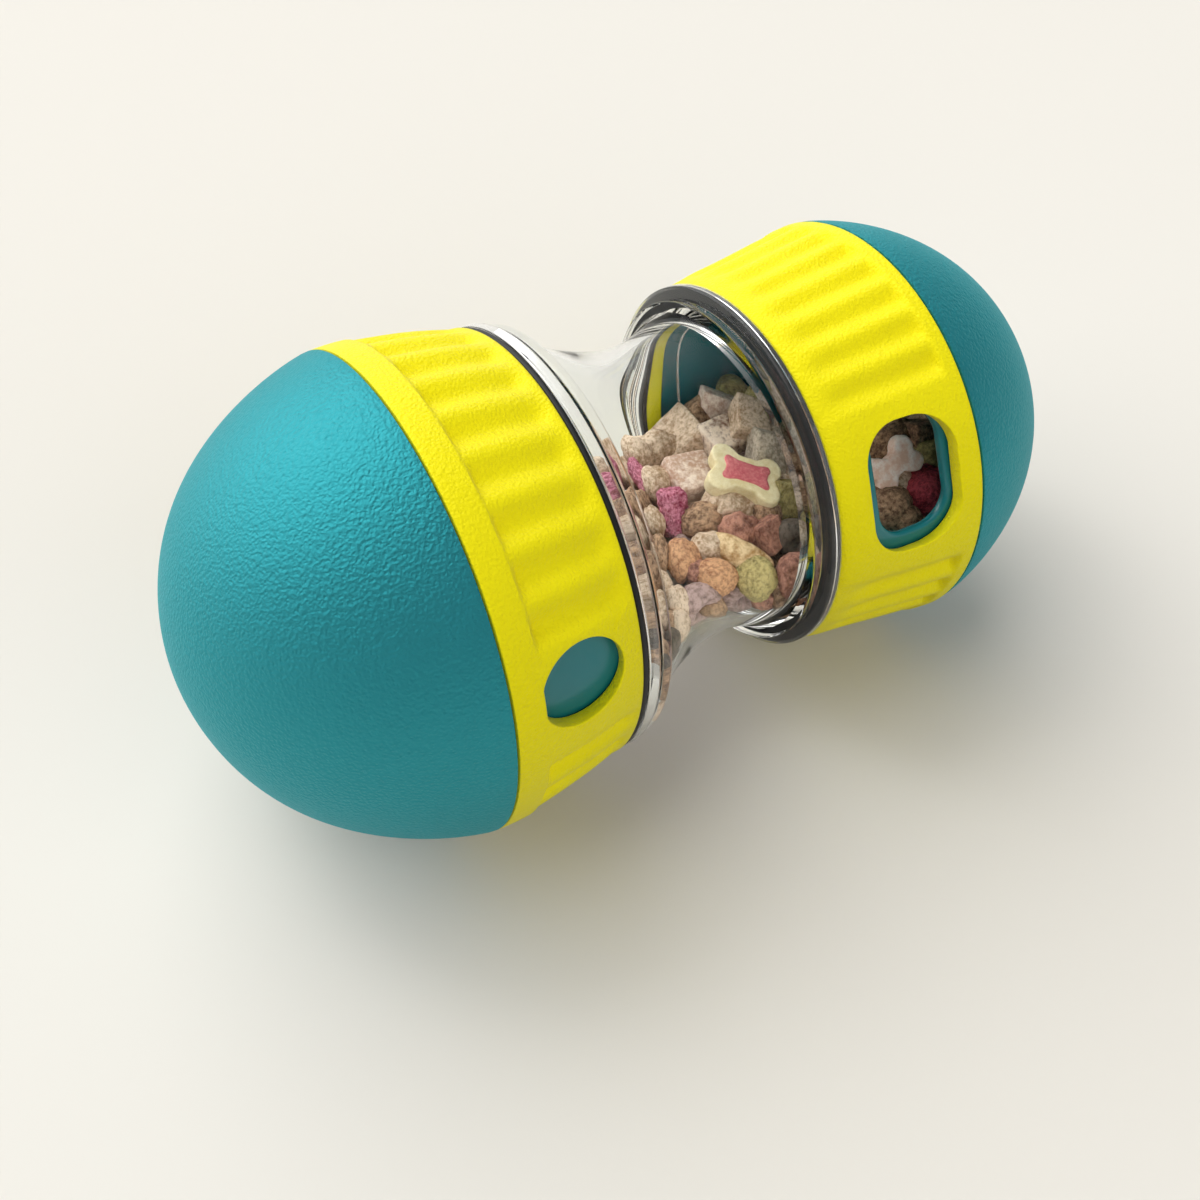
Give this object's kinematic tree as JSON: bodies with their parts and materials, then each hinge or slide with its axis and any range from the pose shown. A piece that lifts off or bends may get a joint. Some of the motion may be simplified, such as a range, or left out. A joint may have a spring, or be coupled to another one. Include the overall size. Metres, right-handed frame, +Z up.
{
  "type": "treat ball",
  "caption": "Hollow rolling treat toy: clear waisted tube between two domed ends, each with a fluted ring whose window opens or shuts when the dome is turned.",
  "frame": {"origin": "centre of the footprint at floor level, under the middle of the toy as it lies on both ends", "axes": "+X along the toy from the large end to the small end, +Z up, -Y is the side with the windows"},
  "size_m": [0.163, 0.084, 0.0841],
  "materials": {
    "clear_plastic": "polished clear",
    "grained_teal": "fine grain",
    "smooth_teal": "smooth satin",
    "grained_yellow": "fine grain",
    "seal_rubber": "matt black"
  },
  "bodies": {
    "waist": {"clear_waist_tube": "clear_plastic", "left_gasket": "seal_rubber", "right_gasket": "seal_rubber"},
    "left_ring": {"left_grip_ring": "grained_yellow"},
    "left_adjuster": {"left_metering_sleeve": "smooth_teal", "left_dome_cap": "grained_teal"},
    "right_ring": {"right_grip_ring": "grained_yellow"},
    "right_adjuster": {"right_metering_sleeve": "smooth_teal", "right_dome_cap": "grained_teal"}
  },
  "joints": [
    {"name": "left_end_pull", "type": "slide", "parent": "waist", "child": "left_ring", "axis": [-0.9985, 0, 0.055], "range_m": [0, 0.03]},
    {"name": "left_window_turn", "type": "hinge", "parent": "left_ring", "child": "left_adjuster", "pos_m": [0.00001, 0, 0.0398], "axis": [0.9985, 0, -0.055], "range_deg": [0, 60]},
    {"name": "right_end_pull", "type": "slide", "parent": "waist", "child": "right_ring", "axis": [0.9985, 0, -0.055], "range_m": [0, 0.03]},
    {"name": "right_window_turn", "type": "hinge", "parent": "right_ring", "child": "right_adjuster", "pos_m": [0.00001, 0, 0.0398], "axis": [0.9985, 0, -0.055], "range_deg": [0, 60]}
  ]
}
